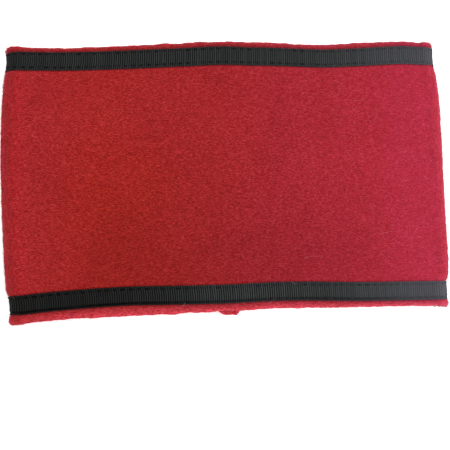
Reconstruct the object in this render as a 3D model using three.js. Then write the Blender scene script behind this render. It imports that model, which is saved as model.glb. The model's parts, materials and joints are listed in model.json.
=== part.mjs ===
// A cloth armband: a strip of thick red wool sewn into a loop, its two long edges turned in as hems, with a
// black grosgrain ribbon stitched round near each edge. It lies flattened on its back layer, as it does when
// it is laid down. Units are millimetres. X runs along the flattened loop, Y across the band's height, and
// +Z up. An arm goes in along Y.
import * as THREE from "three";

// Driving dimensions of the cloth. Heights across the band count from its middle line, upwards positive.
const CLOTH = 1.5; // thickness of the wool
const HEM_TURN = 1.1; // what the turned-in layer adds on the inside, pressed flat by its stitching
const HEM_DEPTH = 14; // from a folded edge to the raw edge of its turned-in layer
const UPPER_EDGE = 60.9; // the upper folded edge
const LOWER_EDGE = -62.4; // the lower folded edge
const ARM_GAP = 5.2; // clear height between the two layers' hems, where the arm goes in

// The ribbons, and how they sit on the cloth.
const RIBBON_WIDTH = 8.3;
const RIBBON_THICKNESS = 1;
const RIBBON_CLEARANCE = 0.3; // all round, between a ribbon and the wool it lies on
const BED_DEPTH = 0.8; // how far a ribbon's stitching presses the wool in
const BED_SLOPE = 0.5; // width of the wool's slope down into that bed
const UPPER_MARGIN = 2.9; // wool that shows beyond the upper ribbon
const LOWER_MARGIN = 3.8; // wool that shows beyond the lower ribbon

// The back seam, where the strip's two ends are joined, and the ends pressed open inside.
const SEAM_X = -1;
const ALLOWANCE_WIDTH = 9;
const ALLOWANCE_THICKNESS = 1.2;
const SEAM_CLEARANCE = 0.3;
const BULK_REACH = 1.95; // how far the seam's folded bulk pushes the back layer's lower edge out
const BULK = { from: -6.6, to: 4.7, rise: 3.6, fall: 1.9 }; // its span along X, and its two slopes' widths
const BULK_DEPTH = 3.6; // how far up from the edge the push fades out

// The loop's rest shape.
const FOLD_DEPTH = 5.6; // length along X of each rounded end fold
const CROWN = 1.5; // rise of the front layer's middle over its hems
const SAG = 0.25; // drop of the back layer's middle between its ribbons
const SAG_HALF_HEIGHT = 44; // the sag fades out at this height
const CROWN_POWER = 4; // a high power keeps the crown broad, with its slope near the folds
const CROWN_AT_FOLDS = 0.3; // share of the crown that is left at the folds

// Outermost reach of the wool at the left and right folds, from the lower edge to the upper. The ribbons,
// sewn a little tighter than the wool, draw the loop in at their rows, and the field between them bulges.
const SECTIONS = [
  { h: -62.4, left: -98.50, right: 99.50 },
  { h: -58.6, left: -97.90, right: 98.80 },
  { h: -54.4, left: -97.60, right: 98.40 },
  { h: -49.6, left: -98.60, right: 98.70 },
  { h: -47.9, left: -99.15, right: 99.60 },
  { h: -45.0, left: -99.60, right: 100.00 },
  { h: -34.0, left: -100.15, right: 100.20 },
  { h: -12.0, left: -100.80, right: 100.00 },
  { h: 12.0, left: -100.90, right: 100.25 },
  { h: 30.0, left: -100.30, right: 100.20 },
  { h: 40.0, left: -99.60, right: 99.70 },
  { h: 46.0, left: -98.95, right: 99.05 },
  { h: 50.0, left: -98.10, right: 98.10 },
  { h: 54.2, left: -97.30, right: 97.70 },
  { h: 58.1, left: -97.70, right: 98.10 },
  { h: 60.9, left: -98.30, right: 98.20 },
];

// How the edges wander along the loop: shifts along Y of the front and back layers' upper and lower edges,
// and what each margin, outside its ribbon, is narrower by.
const EDGE_SHIFTS = [
  { x: -97, frontUpper: 0.35, frontLower: -0.80, backUpper: 0.35, backLower: -0.80, upperMargin: 0.00, lowerMargin: 0.00 },
  { x: -86, frontUpper: -0.17, frontLower: 0.48, backUpper: -0.29, backLower: 0.68, upperMargin: 0.30, lowerMargin: -0.38 },
  { x: -72, frontUpper: -0.50, frontLower: 1.40, backUpper: -0.80, backLower: 1.80, upperMargin: 0.40, lowerMargin: -0.47 },
  { x: -56, frontUpper: -0.43, frontLower: 2.15, backUpper: -1.04, backLower: 2.57, upperMargin: 0.15, lowerMargin: -1.05 },
  { x: -42, frontUpper: -0.19, frontLower: 2.38, backUpper: -1.02, backLower: 2.78, upperMargin: 0.00, lowerMargin: -1.10 },
  { x: -30, frontUpper: 0.09, frontLower: 2.13, backUpper: -0.83, backLower: 2.53, upperMargin: 0.00, lowerMargin: -0.70 },
  { x: -16, frontUpper: 0.43, frontLower: 1.92, backUpper: -0.57, backLower: 2.32, upperMargin: 0.00, lowerMargin: -0.10 },
  { x: -6, frontUpper: 0.64, frontLower: 1.78, backUpper: -0.50, backLower: 2.18, upperMargin: 0.00, lowerMargin: 0.20 },
  { x: 2, frontUpper: 0.60, frontLower: 1.85, backUpper: -0.60, backLower: 2.25, upperMargin: 0.10, lowerMargin: 0.15 },
  { x: 10, frontUpper: 0.22, frontLower: 2.02, backUpper: -0.83, backLower: 2.42, upperMargin: 0.00, lowerMargin: 0.25 },
  { x: 20, frontUpper: 0.10, frontLower: 2.17, backUpper: -0.70, backLower: 2.57, upperMargin: 0.10, lowerMargin: 0.50 },
  { x: 33, frontUpper: -0.45, frontLower: 1.88, backUpper: -1.02, backLower: 2.28, upperMargin: 0.10, lowerMargin: 0.25 },
  { x: 46, frontUpper: -1.00, frontLower: 1.32, backUpper: -1.40, backLower: 1.72, upperMargin: 0.00, lowerMargin: 0.45 },
  { x: 55, frontUpper: -0.79, frontLower: 0.90, backUpper: -1.17, backLower: 1.31, upperMargin: 0.00, lowerMargin: 0.85 },
  { x: 64, frontUpper: -0.50, frontLower: 0.64, backUpper: -0.90, backLower: 1.04, upperMargin: 0.00, lowerMargin: 1.15 },
  { x: 82, frontUpper: 0.10, frontLower: 0.32, backUpper: -0.20, backLower: 0.62, upperMargin: 0.00, lowerMargin: 0.85 },
  { x: 91, frontUpper: -0.40, frontLower: 0.12, backUpper: -0.50, backLower: 0.25, upperMargin: 0.10, lowerMargin: 0.80 },
  { x: 97, frontUpper: -0.50, frontLower: 0.10, backUpper: -0.50, backLower: 0.10, upperMargin: 0.10, lowerMargin: 0.80 },
];

// The front layer's soft waves: its rise off its mean height at its upper edge, middle and lower edge.
const FRONT_RISES = [
  { x: -97, upper: 0.0, middle: 0.0, lower: 0.0 },
  { x: -72, upper: -0.2, middle: 0.5, lower: 0.3 },
  { x: -45, upper: 0.1, middle: -0.3, lower: 0.6 },
  { x: -16, upper: 0.9, middle: 0.4, lower: 0.3 },
  { x: 2, upper: 1.7, middle: 0.7, lower: 0.2 },
  { x: 20, upper: 0.6, middle: 0.5, lower: 0.7 },
  { x: 46, upper: -0.2, middle: 0.1, lower: 0.4 },
  { x: 64, upper: -0.2, middle: 0.3, lower: 0.1 },
  { x: 82, upper: 0.1, middle: 0.1, lower: 0.0 },
  { x: 97, upper: 0.0, middle: 0.0, lower: 0.0 },
];
const WAVE_REACH = 97; // the tables above start and end this far from the middle

// Mesh steps.
const FOLD_STEPS = 10; // along each end fold
const LAYER_STEPS = 22; // along each layer between the folds
const EDGE_STEPS = 5; // round each folded edge
const FIELD_STEPS = 8; // across the wool between the ribbons
const BULK_STEPS = 7; // extra ones across the seam's bulk
const DIFFERENCE = 0.02; // step of the finite differences that give the surface normal

// Derived sizes. Offsets from the wool's middle surface are positive outwards.
const OUTER_FACE = CLOTH / 2;
const INNER_FACE = -CLOTH / 2;
const HEM_FACE = INNER_FACE - HEM_TURN;
const EDGE_RADIUS = (OUTER_FACE - HEM_FACE) / 2;
const BED_FACE = OUTER_FACE - BED_DEPTH;
const RIBBON_INNER = BED_FACE + RIBBON_CLEARANCE;
const RIBBON_OUTER = RIBBON_INNER + RIBBON_THICKNESS;
const BACK_LEVEL = RIBBON_OUTER; // the ribbons' undersides rest at zero
const FRONT_LEVEL = BACK_LEVEL + ARM_GAP - 2 * HEM_FACE;
const LOWER_RIBBON = { from: LOWER_EDGE + LOWER_MARGIN, to: LOWER_EDGE + LOWER_MARGIN + RIBBON_WIDTH };
const UPPER_RIBBON = { from: UPPER_EDGE - UPPER_MARGIN - RIBBON_WIDTH, to: UPPER_EDGE - UPPER_MARGIN };
const LOWER_MARGIN_START = LOWER_RIBBON.from - RIBBON_CLEARANCE - BED_SLOPE;
const UPPER_MARGIN_START = UPPER_RIBBON.to + RIBBON_CLEARANCE + BED_SLOPE;
const LOWER_HEM_END = LOWER_EDGE + HEM_DEPTH;
const UPPER_HEM_END = UPPER_EDGE - HEM_DEPTH;

const WOOL_RED = 0x9c1b24;
const RIBBON_BLACK = 0x141517;

const mix = (a, b, t) => a + (b - a) * t;
const clamp01 = (t) => Math.min(1, Math.max(0, t));
const smooth = (t) => clamp01(t) ** 2 * (3 - 2 * clamp01(t));

// A column of a table at a place between its rows: a cubic through the rows, with each row's slope taken
// from its two neighbours.
function column(rows, key, name, at) {
  const place = Math.min(Math.max(at, rows[0][key]), rows.at(-1)[key]);
  let i = 0;
  while (i < rows.length - 2 && place > rows[i + 1][key]) i++;
  const slope = (k) => {
    const before = rows[Math.max(k - 1, 0)];
    const after = rows[Math.min(k + 1, rows.length - 1)];
    return (after[name] - before[name]) / (after[key] - before[key]);
  };
  const [a, b] = [rows[i], rows[i + 1]];
  const span = b[key] - a[key];
  const t = (place - a[key]) / span;
  const [t2, t3] = [t * t, t * t * t];
  return (
    (2 * t3 - 3 * t2 + 1) * a[name] +
    (t3 - 2 * t2 + t) * span * slope(i) +
    (3 * t2 - 2 * t3) * b[name] +
    (t3 - t2) * span * slope(i + 1)
  );
}

// Shift along Y of a point at height h: each edge's own shift at that edge, fading to none at the middle
// line, and each margin's own change of width outside its ribbon's bed.
function edgeShift(x, h, upper, lower) {
  const shift = (edge, name) => column(EDGE_SHIFTS, "x", name, x) * smooth(h / edge);
  const narrowing = (start, edge, name) => column(EDGE_SHIFTS, "x", name, x) * smooth((h - start) / (edge - start));
  return h > 0
    ? shift(UPPER_EDGE, upper) - narrowing(UPPER_MARGIN_START, UPPER_EDGE, "upperMargin")
    : shift(LOWER_EDGE, lower) + narrowing(LOWER_MARGIN_START, LOWER_EDGE, "lowerMargin");
}

// Push of the seam's folded bulk on the back layer's lower edge: a flat-topped bump with two soft slopes.
function seamBulk(x, h) {
  const bump = smooth((x - BULK.from) / BULK.rise) * smooth((BULK.to - x) / BULK.fall);
  return -BULK_REACH * bump * smooth((LOWER_EDGE + BULK_DEPTH - h) / BULK_DEPTH);
}

function frontHeight(x, h) {
  const half = h > 0 ? UPPER_EDGE : LOWER_EDGE;
  const across = clamp01(h / half);
  const along = clamp01(Math.abs(x) / WAVE_REACH);
  const crown = CROWN * (1 - across ** 2) * mix(1, CROWN_AT_FOLDS, along ** CROWN_POWER);
  const middle = column(FRONT_RISES, "x", "middle", x);
  const edge = column(FRONT_RISES, "x", h > 0 ? "upper" : "lower", x);
  return FRONT_LEVEL + crown + mix(middle, edge, smooth(across));
}

function backHeight(h) {
  return BACK_LEVEL - SAG * smooth(2 * (1 - Math.abs(h) / SAG_HALF_HEIGHT));
}

// The wool's middle surface. The loop coordinate u goes once round: 0 to 1 along the back layer from the
// right fold to the left, 1 to 2 up round the left fold, 2 to 3 along the front layer, and 3 to 4 down round
// the right fold.
function middleSurface(u, h) {
  const turn = ((u % 4) + 4) % 4;
  const part = Math.floor(turn);
  const t = turn - part;
  const leftEnd = column(SECTIONS, "h", "left", h) + OUTER_FACE + FOLD_DEPTH;
  const rightEnd = column(SECTIONS, "h", "right", h) - OUTER_FACE - FOLD_DEPTH;
  if (part === 0) {
    const x = mix(rightEnd, leftEnd, t);
    const y = h + edgeShift(x, h, "backUpper", "backLower") + seamBulk(x, h);
    return new THREE.Vector3(x, y, backHeight(h));
  }
  if (part === 2) {
    const x = mix(leftEnd, rightEnd, t);
    return new THREE.Vector3(x, h + edgeShift(x, h, "frontUpper", "frontLower"), frontHeight(x, h));
  }
  // An end fold is half an ellipse from one layer to the other, and its edges shift as the layers' ends do.
  const [end, outwards, angle] = part === 1 ? [leftEnd, -1, Math.PI * t] : [rightEnd, 1, Math.PI * (1 - t)];
  const rise = (1 - Math.cos(angle)) / 2;
  const back = edgeShift(end, h, "backUpper", "backLower");
  const front = edgeShift(end, h, "frontUpper", "frontLower");
  return new THREE.Vector3(
    end + outwards * FOLD_DEPTH * Math.sin(angle),
    h + mix(back, front, rise),
    mix(backHeight(h), frontHeight(end, h), rise),
  );
}

// A point off the middle surface, along its outward normal.
function wallPoint(u, h, offset) {
  const along = middleSurface(u + DIFFERENCE, h).sub(middleSurface(u - DIFFERENCE, h));
  const across = middleSurface(u, h + DIFFERENCE).sub(middleSurface(u, h - DIFFERENCE));
  return middleSurface(u, h).addScaledVector(along.cross(across).normalize(), offset);
}

// Where along the back layer, in the loop coordinate, the middle line passes a given x.
function backCoordinate(x) {
  const [start, half] = [middleSurface(0, 0).x, middleSurface(0.5, 0).x];
  return (0.5 * (x - start)) / (half - start);
}

// Stations once round the loop, closer together at the seam's bulk.
function loopStations() {
  const stations = [];
  const steps = [LAYER_STEPS, FOLD_STEPS, LAYER_STEPS, FOLD_STEPS];
  steps.forEach((count, part) => {
    for (let i = 0; i < count; i++) stations.push(part + i / count);
  });
  for (let i = 0; i <= BULK_STEPS; i++) {
    stations.push(backCoordinate(mix(BULK.from, BULK.to, i / BULK_STEPS)));
  }
  return stations.sort((a, b) => a - b);
}

// A wall swept along stations: the profile is a closed outline of heights and offsets, outer face first. A
// closed sweep joins its last station to its first, and an open one is capped, its outer and inner points
// paired.
function sweep(profile, stations, closed) {
  const points = stations.flatMap((u) => profile.map(({ h, offset }) => wallPoint(u, h, offset)));
  const count = profile.length;
  const index = [];
  const quad = (a, b, c, d) => index.push(a, b, c, a, c, d);
  const spans = closed ? stations.length : stations.length - 1;
  for (let i = 0; i < spans; i++) {
    const next = (i + 1) % stations.length;
    for (let j = 0; j < count; j++) {
      const k = (j + 1) % count;
      quad(i * count + j, next * count + j, next * count + k, i * count + k);
    }
  }
  if (!closed) {
    const last = (stations.length - 1) * count;
    for (let j = 0; j < count / 2 - 1; j++) {
      const [a, b, c, d] = [j, j + 1, count - 2 - j, count - 1 - j];
      quad(a, b, c, d);
      quad(last + d, last + c, last + b, last + a);
    }
  }
  const geometry = new THREE.BufferGeometry().setFromPoints(points);
  geometry.setIndex(index);
  geometry.computeVertexNormals();
  return geometry;
}

const row = (h, offset) => ({ h, offset });

// Evenly spaced rows between two heights, both left out.
function between(from, to, count, offset) {
  return Array.from({ length: count - 1 }, (_, i) => row(mix(from, to, (i + 1) / count), offset));
}

// Rows round a folded edge, from its outer face to its inner one.
function foldedEdge(edge, direction) {
  return Array.from({ length: EDGE_STEPS + 1 }, (_, i) => {
    const angle = (Math.PI * i) / EDGE_STEPS;
    return row(
      edge + direction * EDGE_RADIUS * (Math.sin(angle) - 1),
      OUTER_FACE - EDGE_RADIUS + EDGE_RADIUS * Math.cos(angle),
    );
  });
}

// The dip in the outer face that a ribbon is pressed into.
function ribbonBed({ from, to }) {
  const [start, end] = [from - RIBBON_CLEARANCE, to + RIBBON_CLEARANCE];
  return [
    row(start - BED_SLOPE, OUTER_FACE),
    row(start, BED_FACE),
    row(end, BED_FACE),
    row(end + BED_SLOPE, OUTER_FACE),
  ];
}

// The strip of wool, turned in at both long edges.
function woolProfile() {
  return [
    ...ribbonBed(LOWER_RIBBON),
    ...between(LOWER_RIBBON.to, UPPER_RIBBON.from, FIELD_STEPS, OUTER_FACE),
    ...ribbonBed(UPPER_RIBBON),
    ...foldedEdge(UPPER_EDGE, 1),
    row(UPPER_HEM_END, HEM_FACE),
    row(UPPER_HEM_END - BED_SLOPE, INNER_FACE),
    ...between(UPPER_HEM_END, LOWER_HEM_END, FIELD_STEPS, INNER_FACE),
    row(LOWER_HEM_END + BED_SLOPE, INNER_FACE),
    row(LOWER_HEM_END, HEM_FACE),
    ...foldedEdge(LOWER_EDGE, -1).reverse(),
  ];
}

function ribbonProfile({ from, to }) {
  return [row(from, RIBBON_OUTER), row(to, RIBBON_OUTER), row(to, RIBBON_INNER), row(from, RIBBON_INNER)];
}

// One pressed-open end of the strip, between the two hems.
function allowanceProfile() {
  const [from, to] = [LOWER_HEM_END + 2 * BED_SLOPE, UPPER_HEM_END - 2 * BED_SLOPE];
  const near = INNER_FACE - SEAM_CLEARANCE;
  const face = (offset) => [row(from, offset), ...between(from, to, FIELD_STEPS, offset), row(to, offset)];
  return [...face(near), ...face(near - ALLOWANCE_THICKNESS).reverse()];
}

function allowanceStations(nearX, farX) {
  return [nearX, farX].map(backCoordinate).sort((a, b) => a - b);
}

function piece(name, geometry, color, roughness) {
  const mesh = new THREE.Mesh(geometry, new THREE.MeshStandardMaterial({ color, roughness, metalness: 0 }));
  mesh.name = name;
  return mesh;
}

const armband = new THREE.Group();
const loop = loopStations();
const halfSlit = SEAM_CLEARANCE / 2;
const leftEnds = allowanceStations(SEAM_X - halfSlit, SEAM_X - ALLOWANCE_WIDTH);
const rightEnds = allowanceStations(SEAM_X + halfSlit, SEAM_X + ALLOWANCE_WIDTH);
armband.add(
  piece("wool_band", sweep(woolProfile(), loop, true), WOOL_RED, 0.95),
  piece("upper_ribbon", sweep(ribbonProfile(UPPER_RIBBON), loop, true), RIBBON_BLACK, 0.7),
  piece("lower_ribbon", sweep(ribbonProfile(LOWER_RIBBON), loop, true), RIBBON_BLACK, 0.7),
  piece("seam_allowance_left", sweep(allowanceProfile(), leftEnds, false), WOOL_RED, 0.95),
  piece("seam_allowance_right", sweep(allowanceProfile(), rightEnds, false), WOOL_RED, 0.95),
);

// The origin is the middle of the underside of the object's box.
const bounds = new THREE.Box3().setFromObject(armband);
const centre = bounds.getCenter(new THREE.Vector3());
armband.position.set(-centre.x, -centre.y, -bounds.min.z);

export default armband;
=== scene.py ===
"""A cloth armband lying flat: thick red wool sewn into a loop, with black grosgrain ribbon along each edge.

Every shape is worked out in millimetres, on the same loop as the CAD model's, and put into its mesh in
metres.
"""

import json
import math

import bpy
import numpy as np
from mathutils import Matrix, Vector

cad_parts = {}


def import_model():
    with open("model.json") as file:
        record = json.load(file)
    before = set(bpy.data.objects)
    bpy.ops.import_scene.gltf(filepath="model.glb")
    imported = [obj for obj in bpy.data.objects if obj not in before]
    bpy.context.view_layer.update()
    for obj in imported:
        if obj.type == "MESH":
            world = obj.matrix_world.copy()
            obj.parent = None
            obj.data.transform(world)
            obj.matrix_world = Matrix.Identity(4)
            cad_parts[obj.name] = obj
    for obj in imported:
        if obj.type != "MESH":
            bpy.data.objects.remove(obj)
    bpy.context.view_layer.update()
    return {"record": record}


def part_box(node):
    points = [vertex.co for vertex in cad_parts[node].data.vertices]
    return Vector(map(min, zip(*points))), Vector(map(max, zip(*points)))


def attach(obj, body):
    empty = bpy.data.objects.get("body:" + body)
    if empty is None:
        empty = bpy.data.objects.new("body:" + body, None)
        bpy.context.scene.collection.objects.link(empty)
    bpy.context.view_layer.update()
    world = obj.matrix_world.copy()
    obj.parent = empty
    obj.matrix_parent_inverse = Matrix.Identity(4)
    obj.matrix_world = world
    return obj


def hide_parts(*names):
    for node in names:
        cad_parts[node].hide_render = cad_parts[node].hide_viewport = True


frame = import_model()

MM = 0.001

# Driving dimensions of the cloth, as in the CAD model, in millimetres.
CLOTH = 1.5
HEM_TURN = 1.1
HEM_DEPTH = 14.0
UPPER_EDGE = 60.9
LOWER_EDGE = -62.4
ARM_GAP = 5.2
RIBBON_WIDTH = 8.3
UPPER_MARGIN = 2.9
LOWER_MARGIN = 3.8
RIBBON_OUTER = 1.25
FOLD_DEPTH = 5.6
CROWN = 1.5
CROWN_POWER = 4
CROWN_AT_FOLDS = 0.3
SAG = 0.25
SAG_HALF_HEIGHT = 44.0
WAVE_REACH = 97.0
SEAM_X = -1.0
# The back seam's folded bulk on the lower edge: how far it hangs, where it lies and how its sides slope.
BULK = {"reach": 1.95, "from": -6.6, "to": 4.7, "rise": 3.6, "fall": 1.9, "depth": 3.6}

# Derived levels: offsets from the wool's middle surface are positive outwards.
OUTER_FACE = CLOTH / 2
INNER_FACE = -CLOTH / 2
HEM_FACE = INNER_FACE - HEM_TURN
EDGE_RADIUS = (OUTER_FACE - HEM_FACE) / 2
EDGE_CENTRE = (OUTER_FACE + HEM_FACE) / 2
BACK_LEVEL = RIBBON_OUTER
FRONT_LEVEL = BACK_LEVEL + ARM_GAP - 2 * HEM_FACE
LOWER_RIBBON = LOWER_EDGE + LOWER_MARGIN
UPPER_RIBBON = UPPER_EDGE - UPPER_MARGIN - RIBBON_WIDTH
LOWER_HEM_END = LOWER_EDGE + HEM_DEPTH
UPPER_HEM_END = UPPER_EDGE - HEM_DEPTH
LOWER_MARGIN_START = LOWER_RIBBON - 0.8
UPPER_MARGIN_START = UPPER_RIBBON + RIBBON_WIDTH + 0.8

# Finish of the wool.
LUMP = 0.055  # height of the cloth's soft unevenness
BED = 0.55  # level of the wool under a ribbon
BED_EASE = 0.45  # width of the slope at a ribbon's edge
PUFF = 0.14  # how far the wool swells beside a ribbon's stitching
PUCKER = 0.09  # how far each stitch draws the wool in
PUCKER_REACH = 1.8
LOWER_ROLL = 3.4  # how far in from the edge the folded margins start to turn over
UPPER_ROLL = 2.3
INNER_ROLL = 1.6
RAW_EDGE = 0.4  # wander of a cut edge
SCALLOP = 0.14  # soft waves of the folded edges
RIPPLE = 0.13  # shorter ones
BULK_HANG = 0.45  # how much further the back seam's bulk hangs
CORNER_SWELL = 0.55  # of the lower left corner

# Finish of the ribbons and their stitching.
RIB_PITCH = 0.98
RIB_DEPTH = 0.22
RIB_STEPS = 6
RIBBON_BODY = 0.45  # thickness of the ribbon under its ribs
RIBBON_DOME = 0.1
GROOVE = 0.2  # how deep the stitching draws a ribbon in
MARGIN_GROOVE = 0.45  # the same beside the lower margin
UPPER_GROOVE = GROOVE * 1.2  # and beside the upper one
GROOVE_WIDTH = 0.4
NEEDLE_DENT = 0.14
STITCH_IN = 1.25  # from a ribbon's edge to its stitching
MARGIN_STITCH_IN = 0.9  # the same beside a margin
STITCH_PITCH = 3.5
STITCH_SHARE = 0.62  # of the pitch, that a stitch's thread is seen for
STITCH_SLANT = 0.1  # how far each stitch's end lies off its row
STITCH_POINTS = 9  # along each stitch
THREAD = 0.4
FIBRE_POINTS = 4  # along each loose fibre of the nap
HAIR_POINTS = 14  # along each stray hair

WARP_PITCH = 0.98  # of the weave under the nap
WEFT_PITCH = 0.9

SEAM_DEPTH = 0.5  # of the back seam's groove
SEAM_HALF_WIDTH = 0.7
SEAM_REACH = 3.0  # the stretch to each side of it that has finer steps


def named_columns(names, rows):
    """A short table as one array for each named column."""
    return dict(zip(names.split(), np.array(rows, float).T))


# Outermost reach of the wool at the two end folds, from the lower edge to the upper.
SECTIONS = named_columns("height left right", [
    (-62.4, -98.50, 99.50),
    (-58.6, -97.90, 98.80),
    (-54.4, -97.60, 98.40),
    (-49.6, -98.60, 98.70),
    (-47.9, -99.15, 99.60),
    (-45.0, -99.60, 100.00),
    (-34.0, -100.15, 100.20),
    (-12.0, -100.80, 100.00),
    (12.0, -100.90, 100.25),
    (30.0, -100.30, 100.20),
    (40.0, -99.60, 99.70),
    (46.0, -98.95, 99.05),
    (50.0, -98.10, 98.10),
    (54.2, -97.30, 97.70),
    (58.1, -97.70, 98.10),
    (60.9, -98.30, 98.20),
])

# How the edges wander along the loop, and what each margin is narrower by.
EDGE_SHIFTS = named_columns("x front_upper front_lower back_upper back_lower upper_margin lower_margin", [
    (-97, 0.35, -0.80, 0.35, -0.80, 0.00, 0.00),
    (-86, -0.17, 0.48, -0.29, 0.68, 0.30, -0.38),
    (-72, -0.50, 1.40, -0.80, 1.80, 0.40, -0.47),
    (-56, -0.43, 2.15, -1.04, 2.57, 0.15, -1.05),
    (-42, -0.19, 2.38, -1.02, 2.78, 0.00, -1.10),
    (-30, 0.09, 2.13, -0.83, 2.53, 0.00, -0.70),
    (-16, 0.43, 1.92, -0.57, 2.32, 0.00, -0.10),
    (-6, 0.64, 1.78, -0.50, 2.18, 0.00, 0.20),
    (2, 0.60, 1.85, -0.60, 2.25, 0.10, 0.15),
    (10, 0.22, 2.02, -0.83, 2.42, 0.00, 0.25),
    (20, 0.10, 2.17, -0.70, 2.57, 0.10, 0.50),
    (33, -0.45, 1.88, -1.02, 2.28, 0.10, 0.25),
    (46, -1.00, 1.32, -1.40, 1.72, 0.00, 0.45),
    (55, -0.79, 0.90, -1.17, 1.31, 0.00, 0.85),
    (64, -0.50, 0.64, -0.90, 1.04, 0.00, 1.15),
    (82, 0.10, 0.32, -0.20, 0.62, 0.00, 0.85),
    (91, -0.40, 0.12, -0.50, 0.25, 0.10, 0.80),
    (97, -0.50, 0.10, -0.50, 0.10, 0.10, 0.80),
])

# The front layer's soft waves: its rise at its upper edge, middle and lower edge.
FRONT_RISES = named_columns("x upper middle lower", [
    (-97, 0.0, 0.0, 0.0),
    (-72, -0.2, 0.5, 0.3),
    (-45, 0.1, -0.3, 0.6),
    (-16, 0.9, 0.4, 0.3),
    (2, 1.7, 0.7, 0.2),
    (20, 0.6, 0.5, 0.7),
    (46, -0.2, 0.1, 0.4),
    (64, -0.2, 0.3, 0.1),
    (82, 0.1, 0.1, 0.0),
    (97, 0.0, 0.0, 0.0),
])


def mix(a, b, t):
    return a + (b - a) * t


def smooth(t):
    t = np.clip(t, 0, 1)
    return t * t * (3 - 2 * t)


def bell(distance, width):
    """1 at no distance, falling off as a bell curve of that width."""
    return np.exp(-((distance / width) ** 2))


def unit(v):
    return v / np.maximum(np.linalg.norm(v, axis=-1, keepdims=True), 1e-12)


def column(table, key, name, at):
    """A table's column between its rows: a cubic through the rows, each row's slope from its neighbours."""
    places, values = table[key], table[name]
    row = np.arange(len(places))
    before = np.maximum(row - 1, 0)
    after = np.minimum(row + 1, len(row) - 1)
    slopes = (values[after] - values[before]) / (places[after] - places[before])
    at = np.clip(at, places[0], places[-1])
    i = np.clip(np.searchsorted(places, at, side="right") - 1, 0, len(places) - 2)
    span = places[i + 1] - places[i]
    t = (at - places[i]) / span
    return (
        (2 * t**3 - 3 * t**2 + 1) * values[i]
        + (t**3 - 2 * t**2 + t) * span * slopes[i]
        + (3 * t**2 - 2 * t**3) * values[i + 1]
        + (t**3 - t**2) * span * slopes[i + 1]
    )


def edge_shift(x, h, layer):
    """Shift along Y: each edge's own at that edge, fading to none at the middle line, and each margin's own
    change of width outside its ribbon."""
    upper = column(EDGE_SHIFTS, "x", layer + "_upper", x) * smooth(h / UPPER_EDGE)
    lower = column(EDGE_SHIFTS, "x", layer + "_lower", x) * smooth(h / LOWER_EDGE)
    top = smooth((h - UPPER_MARGIN_START) / (UPPER_EDGE - UPPER_MARGIN_START))
    foot = smooth((h - LOWER_MARGIN_START) / (LOWER_EDGE - LOWER_MARGIN_START))
    upper = upper - column(EDGE_SHIFTS, "x", "upper_margin", x) * top
    lower = lower + column(EDGE_SHIFTS, "x", "lower_margin", x) * foot
    return np.where(h > 0, upper, lower)


def seam_bulk(x, h):
    """Push of the back seam's folded bulk on the lower edge: a flat-topped bump with two soft slopes."""
    bump = smooth((x - BULK["from"]) / BULK["rise"]) * smooth((BULK["to"] - x) / BULK["fall"])
    return -BULK["reach"] * bump * smooth((LOWER_EDGE + BULK["depth"] - h) / BULK["depth"])


def front_height(x, h):
    """Height of the front layer: a crown, highest on the middle line and flatter towards the folds, and soft
    waves that blend from the middle's to each edge's own."""
    across = np.clip(np.where(h > 0, h / UPPER_EDGE, h / LOWER_EDGE), 0, 1)
    along = np.clip(np.abs(x) / WAVE_REACH, 0, 1)
    crown = CROWN * (1 - across**2) * mix(1, CROWN_AT_FOLDS, along**CROWN_POWER)
    middle = column(FRONT_RISES, "x", "middle", x)
    upper, lower = column(FRONT_RISES, "x", "upper", x), column(FRONT_RISES, "x", "lower", x)
    return FRONT_LEVEL + crown + mix(middle, np.where(h > 0, upper, lower), smooth(across))


def back_height(h):
    """Height of the back layer, which sags a little between the hems."""
    return BACK_LEVEL - SAG * smooth(2 * (1 - np.abs(h) / SAG_HALF_HEIGHT))


def middle_surface(u, h):
    """The wool's middle surface. u goes once round the loop: 0 to 1 along the back layer from the right fold
    to the left, 1 to 2 up round the left fold, 2 to 3 along the front layer, 3 to 4 down round the right
    fold. Each fold is half an ellipse, and its edges shift as the two layers' ends do."""
    u, h = np.broadcast_arrays(np.asarray(u, float) % 4, np.asarray(h, float))
    part, t = np.floor(u), u % 1
    left = column(SECTIONS, "height", "left", h) + OUTER_FACE + FOLD_DEPTH
    right = column(SECTIONS, "height", "right", h) - OUTER_FACE - FOLD_DEPTH
    bow = FOLD_DEPTH * np.sin(np.pi * t)
    parts = [part == 0, part == 1, part == 2]
    x = np.select(parts, [mix(right, left, t), left - bow, mix(left, right, t)], right + bow)
    turned = (1 - np.cos(np.pi * t)) / 2
    rise = np.select(parts, [0.0 * t, turned, 1.0 + 0.0 * t], 1 - turned)
    inside = np.clip(x, left, right)
    shift = mix(edge_shift(inside, h, "back"), edge_shift(inside, h, "front"), rise)
    y = h + shift + np.where(part == 0, seam_bulk(x, h), 0.0)
    z = mix(back_height(h), front_height(inside, h), rise)
    return np.stack([x, y, z], -1)


def wall_frame(u, h):
    """Place on the middle surface, and the unit directions along the loop, across it and outwards."""
    step = 0.02
    along = middle_surface(u + step, h) - middle_surface(u - step, h)
    across = middle_surface(u, h + step) - middle_surface(u, h - step)
    outwards = unit(np.cross(along, across))
    along = unit(along)
    return middle_surface(u, h), along, np.cross(outwards, along), outwards


def wall_point(u, h, offset):
    place, _, _, outwards = wall_frame(u, h)
    return place + outwards * np.asarray(offset)[..., None]


# Lengths round the loop, measured on a fine run of stations.
RUN = np.linspace(0, 4, 4001)
LAYER_LENGTH = float(middle_surface(0, 0)[0] - middle_surface(1 - 1e-9, 0)[0])
SEAM_U = float(middle_surface(0, 0)[0] - SEAM_X) / LAYER_LENGTH


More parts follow.
